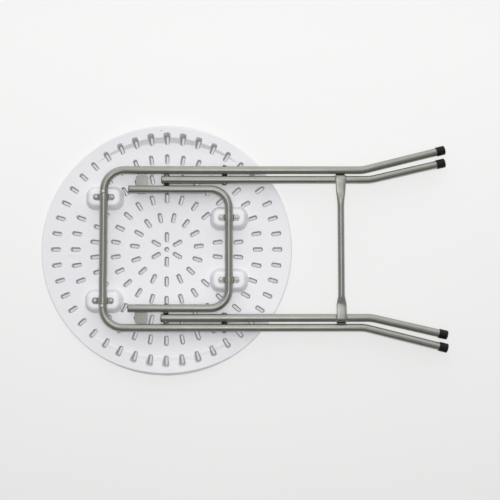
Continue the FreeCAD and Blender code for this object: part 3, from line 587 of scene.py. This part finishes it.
def brace_section(y):
    """The brace's middle height, half width, half height and squareness, at one place along Y."""
    widening, flattening, lift = 3.75, 5.7, 2.0
    over_tube, over_tube_radius = 164.0, 11.8
    corner_start, corner = BRACE_END - 4.0, 4.0
    flat_from, flat_to = (100.0, 150.0) if y > 0 else (108.0, 137.0)
    bend_from, bend_to = 128.0, 158.0
    away = abs(y)
    flat = eased(away, flat_from, flat_to)
    half, rise = BRACE_RADIUS + widening * flat, BRACE_RADIUS - flattening * flat
    height = BRACE_Z + lift * eased(away, bend_from, bend_to)
    if away > over_tube:
        height = TUBE_Z + math.sqrt(over_tube_radius ** 2 - (away - over_tube) ** 2)
    into_corner = min(max(away - corner_start, 0.0), corner)
    half -= corner - math.sqrt(corner ** 2 - into_corner ** 2)
    squareness = 2 / (2 + 2.4 * flat)
    return height, half, rise, squareness


def make_brace_welds(side):
    """One bead across the brace's end, and one along each of its edges."""
    end_half, end_y, end_z = 15.5, 171.3 * side, 48.6
    edge_half, edge_y, edge_z = 12.2, (157.5 * side, 168.5 * side), (49.9, 50.4)
    welds = bead((BRACE_X - end_half, end_y, end_z), (BRACE_X + end_half, end_y, end_z), 2.7)
    for x in (BRACE_X - edge_half, BRACE_X + edge_half):
        start, stop = ((x, y, z) for y, z in zip(edge_y, edge_z))
        welds.merge(bead(start, stop, 1.9))
    return welds


def make_brace():
    """A tube flattened towards its ends, which are bent and welded over the inner legs."""
    runs = ((0.0, 100.0, 7), (100.0, 128.0, 15), (128.0, 158.0, 16), (158.0, BRACE_END, 9))
    stations = {round(float(y) * side, 4) for run in runs for y in np.linspace(*run)
                for _, side in SIDES}
    shell = Shell()
    loops = []
    for y in sorted(stations):
        height, half, rise, squareness = brace_section(y)
        ring = []
        for cos, sin in circle(0, 0, 1, 56):
            ring.append((BRACE_X + half * math.copysign(abs(cos) ** squareness, cos), y,
                         height + rise * math.copysign(abs(sin) ** squareness, sin)))
        loops.append(shell.ring(ring))
    shell.stack(loops, flip=True)
    shell.cap(loops[0])
    shell.cap(loops[-1], flip=True)
    add("cross_brace_tube", shell, GREY, "inner_legs", ["cross_brace"], sharp=50)
    for name, side in SIDES:
        add(f"brace_welds_{name}", make_brace_welds(side), WELD, "inner_legs", ["cross_brace"],
            sharp=60)


def make_clip():
    """A saddle strap about the middle of its tube: ears, bends and arch of one sheet."""
    end, half, corner = 25.5, 7.5, 6.0
    top = BOSS_TOP + SHEET
    stations = (end, 25.2, 24.6, 23.6, 22.2, 20.6, 18.6, 16.2)

    def face(z, bend, rise, radius, start):
        """One face of the sheet, from end to end: its bend and rise are corners of its ear."""
        ear = [(x, z) for x in stations]
        ear += rounded(((end, z, 0), bend, rise), 6)[1:-1]
        return (ear + arc((0, TUBE_Z), radius, start, 180 - start, 30)
                + [(-x, z) for x, z in reversed(ear)])

    above = face(top, (11.1, top, 2.2), (11.0, 44.6, 0), 11.2, 14)
    below = face(BOSS_TOP, (9.7, BOSS_TOP, 0.7), (9.5, 43.2, 0), 9.62, 10)
    rounding = ((0.45, 0.0), (0.13, 0.08), (0.0, 0.28), (0.0, 0.72), (0.13, 0.92), (0.45, 1.0))
    shell = Shell()
    loops = []
    for (x1, z1), (x2, z2) in zip(below, above):
        into_corner = max(abs(x2) - (end - corner), 0.0)
        reach = half - corner + math.sqrt(max(corner ** 2 - into_corner ** 2, 0.0))
        section = [(reach - inset, up) for inset, up in rounding]
        section += [(-y, up) for y, up in reversed(section)]
        loops.append(shell.ring([(x1 + (x2 - x1) * up, y, z1 + (z2 - z1) * up)
                                 for y, up in section]))
    shell.stack(loops)
    shell.cap(loops[0], flip=True)
    shell.cap(loops[-1])
    return shell


def make_screw():
    """A pan-head screw with a cross recess, standing on the origin. Its profile is (z, radius)."""
    profile = [(2.5, 0.02), (2.5, 1.3), (2.42, 2.3), (2.2, 3.2), (1.8, 3.85), (1.2, 4.25),
               (0.5, 4.4), (0.0, 4.4), (0.0, 1.9), (-13.0, 1.9), (-16.0, 0.5)]
    head = Shell()
    head.merge(lathe(profile, 40), lambda x, y, z: (y, z, x))
    reach, half_width = 2.3, 0.5
    arm = [(reach, half_width), (half_width, half_width), (half_width, reach)]
    plus = []
    for _ in range(4):
        plus += arm
        arm = [(-y, x) for x, y in arm]
    tool = Shell()
    rings = [tool.loop([(x * scale, y * scale) for x, y in plus], z)
             for z, scale in ((1.2, 0.6), (3.0, 1.1))]
    tool.bridge(*rings)
    tool.cap(rings[1])
    tool.cap(rings[0], flip=True)
    return cut(head, tool)


def make_clips_and_screws():
    """A strap with two screws over each boss. No two of the screws' crosses point alike."""
    clip, screw = make_clip(), make_screw()
    turn, turn_step, screw_x, screw_z = 0.3, 1.1, 18.6, BOSS_TOP + SHEET
    for group, hinge, clip_y in CLIPS:
        screws = Shell()
        for name, side in SIDES:
            strap = Shell()
            strap.merge(clip, lambda x, y, z: (x + hinge, y + clip_y * side, z))
            add(f"{group}_strap_{name}", strap, GREY, "tabletop", [f"{group}_{name}"],
                sharp=45)
            for way in (-1, 1):
                turn += turn_step
                cos, sin = math.cos(turn), math.sin(turn)
                screws.merge(screw, lambda x, y, z: (hinge + screw_x * way + x * cos - y * sin,
                                                     clip_y * side + x * sin + y * cos,
                                                     z + screw_z))
        add(f"{group}_screw_heads", screws, ZINC, "tabletop", [f"{group}_screws"])


def make_feet():
    """Ribbed caps, square to the ends of their legs."""
    length, radius, bore, tip, wall = 21.0, 10.9, 9.56, 0.3, 3.0
    rib_count, rib_depth, rib_start, rib_end = 14, 0.45, -2.0, -19.5

    def ribs(x, reach, angle):
        if reach < 10.2 or x > rib_start or x < rib_end:
            return 0.0
        return rib_depth * max(0.0, math.cos(rib_count * angle)) ** 3

    profile = rounded(((0.0, tip, 0), (0.0, radius, 2.6), (-length, radius, 0.8),
                       (-length, bore, 0), (-wall, bore, 0), (-wall, tip, 0)), 6)
    # The ribs need points along the straight side, after the tip and its rounding.
    profile[8:8] = [(x, radius) for x in (-3.4, -18.6, -19.4)]
    cap = lathe(profile, 168, ribs)
    for leg, body, y, splay in FEET:
        for name, side in SIDES:
            cos, sin = math.cos(math.radians(splay)), math.sin(math.radians(splay)) * side
            foot = Shell()
            foot.merge(cap, lambda u, v, w: (FOOT_X + u * cos - v * sin,
                                             y * side + u * sin + v * cos, TUBE_Z + w))
            add(f"{leg}_cap_{name}", foot, BLACK, body, [f"{leg}_foot_{name}"])


def make_stop_plates():
    """Plates with rounded corners, welded under the arms of the link frame."""
    x, y, half_x, half_y, corner = -58.7, 153.75, 14.75, 22.25, 6.0
    weld_half, weld_places, weld_z, weld_radius = 11.5, (134.4, 147.6), 33.3, 2.3
    plate = Shell()
    loops = [plate.loop(round_rectangle(x, y, half_x + grow, half_y + grow, corner + grow, 8), z)
             for grow, z in ((-0.6, 29.2), (-0.18, 29.32), (0.0, 29.75), (0.0, 31.65),
                             (-0.18, 32.08), (-0.6, 32.2))]
    plate.stack(loops)
    plate.cap(loops[-1])
    plate.cap(loops[0], flip=True)
    for weld_y in weld_places:
        plate.merge(bead((x - weld_half, weld_y, weld_z), (x + weld_half, weld_y, weld_z),
                         weld_radius))
    for name, side in SIDES:
        whole = Shell()
        whole.merge(plate, lambda u, v, w: (u, v * side, w), flip=side < 0)
        add(f"welded_stop_{name}", whole, GREY, "link", [f"stop_plate_{name}"],
            sharp=50)


# Materials


def node(tree, kind, **settings):
    """A node with attributes and socket values. A socket value is given as in_Name=value."""
    made = tree.nodes.new(kind)
    for key, value in settings.items():
        if key.startswith("in_"):
            made.inputs[key[3:].replace("_", " ")].default_value = value
        else:
            setattr(made, key, value)
    return made


def noise(tree, scale, detail):
    """Noise in the object's own metres, so its grain has a real size."""
    made = node(tree, "ShaderNodeTexNoise", in_Scale=scale, in_Detail=detail)
    place = node(tree, "ShaderNodeTexCoord").outputs["Object"]
    tree.links.new(place, made.inputs["Vector"])
    return made.outputs["Fac"]


def ramp(tree, source, stops):
    """A colour or grey from a value, by (value, colour or grey) in ascending order."""
    made = node(tree, "ShaderNodeValToRGB")
    tree.links.new(source, made.inputs["Fac"])
    elements = made.color_ramp.elements
    for index, (place, colour) in enumerate(stops):
        element = elements[index] if index < len(elements) else elements.new(place)
        element.position = place
        element.color = (*colour, 1) if isinstance(colour, tuple) else (colour, colour, colour, 1)
    return made.outputs["Color"]


def spread(tree, source, start, stop, low=0.0, high=1.0):
    """A value's run from start to stop, spread from low to high."""
    made = node(tree, "ShaderNodeMapRange", in_From_Min=start, in_From_Max=stop,
                in_To_Min=low, in_To_Max=high)
    tree.links.new(source, made.inputs["Value"])
    return made.outputs["Result"]


def finish(name, colours, roughness, bumps, colour_scale=6.0, painted_shade=None, **settings):
    """A procedural material: colour and roughness drift, over bumps of (scale, depth, detail).

    Painted shade darkens narrow slots and corners, where an ambient occlusion mask finds them."""
    rough_scale, painted_shade_reach, painted_shade_stops = 40.0, 0.014, ((0.22, 0.0), (0.62, 1.0))
    material = bpy.data.materials.new(name)
    material.use_nodes = True
    tree = material.node_tree
    shader = tree.nodes["Principled BSDF"]
    for key, value in settings.items():
        shader.inputs[key.replace("_", " ")].default_value = value
    colour = ramp(tree, noise(tree, colour_scale, 4.0), ((0.3, colours[0]), (0.7, colours[1])))
    # Painted shade: an ambient occlusion mask blends a darker colour into narrow slots and corners.
    if painted_shade:
        narrow = node(tree, "ShaderNodeAmbientOcclusion", in_Distance=painted_shade_reach)
        blend = node(tree, "ShaderNodeMix", data_type="RGBA")
        factor, shaded, unshaded = (blend.inputs[index] for index in (0, 6, 7))
        tree.links.new(ramp(tree, narrow.outputs["AO"], painted_shade_stops), factor)
        shaded.default_value = (*painted_shade, 1)
        tree.links.new(colour, unshaded)
        colour = blend.outputs[2]
    tree.links.new(colour, shader.inputs["Base Color"])
    rough = ramp(tree, noise(tree, rough_scale, 5.0), ((0.3, roughness[0]), (0.7, roughness[1])))
    tree.links.new(rough, shader.inputs["Roughness"])
    normal = None
    for scale, depth, detail in bumps:
        bump = node(tree, "ShaderNodeBump", in_Strength=1.0, in_Distance=depth)
        tree.links.new(noise(tree, scale, detail), bump.inputs["Height"])
        if normal:
            tree.links.new(normal, bump.inputs["Normal"])
        normal = bump.outputs["Normal"]
    tree.links.new(normal, shader.inputs["Normal"])
    return material


# The white plastic gets painted shade in its slot walls and corners.
WHITE = finish("moulded white plastic", ((0.800, 0.798, 0.830), (0.824, 0.824, 0.848)), (0.42, 0.54),
               ((9.0, 0.0002, 2.0), (1400.0, 0.00003, 3.0)), IOR=1.5, painted_shade=(0.43, 0.43, 0.45))
GREY = finish("grey powder coat", ((0.335, 0.338, 0.306), (0.370, 0.373, 0.339)), (0.16, 0.23),
              ((900.0, 0.000007, 2.0),), colour_scale=30.0, IOR=1.5, Metallic=0.72)
WELD = finish("painted weld", ((0.245, 0.248, 0.215), (0.300, 0.303, 0.264)), (0.30, 0.45),
              ((500.0, 0.0002, 3.0), (1800.0, 0.00004, 2.0)), colour_scale=80.0, IOR=1.5,
              Metallic=0.5)
BLACK = finish("black plastic", ((0.006, 0.006, 0.006), (0.010, 0.010, 0.010)), (0.24, 0.34),
               ((1200.0, 0.00003, 2.0),), colour_scale=60.0, IOR=1.3)
ZINC = finish("bright zinc", ((0.66, 0.67, 0.66), (0.78, 0.79, 0.78)), (0.34, 0.48),
              ((1500.0, 0.00002, 3.0),), colour_scale=500.0, Metallic=1.0)
STEEL = finish("dull steel", ((0.20, 0.20, 0.19), (0.32, 0.32, 0.30)), (0.30, 0.45),
               ((1500.0, 0.00002, 3.0),), colour_scale=300.0, Metallic=1.0)
FINISHES = {"white_plastic": WHITE, "grey_paint": GREY, "black_plastic": BLACK, "zinc": ZINC}


def finish_cad_nodes():
    """Give every node of the frame the material of its slot, except the pivot rivets, which get dull steel."""
    slots = {row["node"]: row["material_slot"] for row in frame["record"]["subparts"]}
    for name, thing in frame["nodes"].items():
        pivot = "scissor_rivet" in name or "toggle_rivet" in name
        for place in thing.material_slots:
            place.material = STEEL if pivot else FINISHES[slots[name]]


# Light, floor and camera


def make_sky(scene):
    """A studio that is bright overhead and towards +Y, and dim low on the -Y side."""
    world = bpy.data.worlds.new("studio")
    world.use_nodes = True
    tree = world.node_tree
    facing = node(tree, "ShaderNodeVectorMath", operation="DOT_PRODUCT")
    facing.inputs[1].default_value = SKY_TOWARDS
    tree.links.new(node(tree, "ShaderNodeTexCoord").outputs["Generated"], facing.inputs[0])
    towards = spread(tree, facing.outputs["Value"], -1.0, 1.0)
    back = tree.nodes["Background"]
    tree.links.new(ramp(tree, towards, SKY), back.inputs["Color"])
    back.inputs["Strength"].default_value = SKY_STRENGTH
    scene.world = world


def stand_light(name, place, power, width, length, in_gloss):
    """A soft lamp that faces the middle of the object."""
    data = bpy.data.lights.new(name, "AREA")
    data.shape, data.size, data.size_y = "RECTANGLE", width, length
    data.energy = power
    light = bpy.data.objects.new(name, data)
    light.location = place
    aim = Vector(LIGHT_TARGET) - Vector(place)
    light.rotation_euler = aim.to_track_quat("-Z", "Y").to_euler()
    light.visible_glossy = in_gloss
    bpy.context.scene.collection.objects.link(light)


def make_floor():
    """A wide pale floor with painted light: it glows a little, more towards +Y, and painted shade makes it glow
    less under the tabletop.
    """
    far = 4000.0
    shell = Shell()
    shell.cap(shell.loop([(-far, -far), (far, -far), (far, far), (-far, far)], -FLOOR_DROP))
    mesh = shell.mesh("floor")
    paint = finish("pale floor", ((0.28, 0.28, 0.279), (0.288, 0.288, 0.287)),
                   (0.75, 0.85), ((600.0, 0.00002, 2.0),), colour_scale=1.5)
    tree = paint.node_tree
    where = node(tree, "ShaderNodeTexCoord").outputs["Object"]
    place = node(tree, "ShaderNodeSeparateXYZ")
    tree.links.new(where, place.inputs["Vector"])
    reach = node(tree, "ShaderNodeVectorMath", operation="LENGTH")
    tree.links.new(where, reach.inputs[0])
    # Painted light: the floor glows more towards +Y, and painted shade dims the glow under the tabletop.
    painted_glow = node(tree, "ShaderNodeMath", operation="MULTIPLY")
    along = spread(tree, place.outputs["Y"], FLOOR_FROM, FLOOR_TO, *FLOOR_PAINTED_GLOW)
    tree.links.new(along, painted_glow.inputs[0])
    shade = spread(tree, reach.outputs["Value"], SHADE_FROM, SHADE_TO, low=SHADE)
    tree.links.new(shade, painted_glow.inputs[1])
    shader = tree.nodes["Principled BSDF"]
    shader.inputs["Emission Color"].default_value = (1.0, 1.0, 0.995, 1)
    tree.links.new(painted_glow.outputs["Value"], shader.inputs["Emission Strength"])
    mesh.materials.append(paint)
    floor = bpy.data.objects.new("floor", mesh)
    bpy.context.scene.collection.objects.link(floor)


def make_studio():
    """Sky, lamps, floor and camera."""
    scene = bpy.context.scene
    scene.view_settings.view_transform = "Standard"
    make_sky(scene)
    for light in LIGHTS:
        stand_light(*light)
    make_floor()
    data = bpy.data.cameras.new("camera")
    data.sensor_width, data.lens = CAMERA_SENSOR, CAMERA_LENS
    camera = bpy.data.objects.new("camera", data)
    camera.location = CAMERA_PLACE
    camera.rotation_euler = Euler([math.radians(angle) for angle in CAMERA_TURN])
    scene.collection.objects.link(camera)
    scene.camera = camera


finish_cad_nodes()
make_tabletop()
make_brace()
make_clips_and_screws()
make_feet()
make_stop_plates()
make_studio()
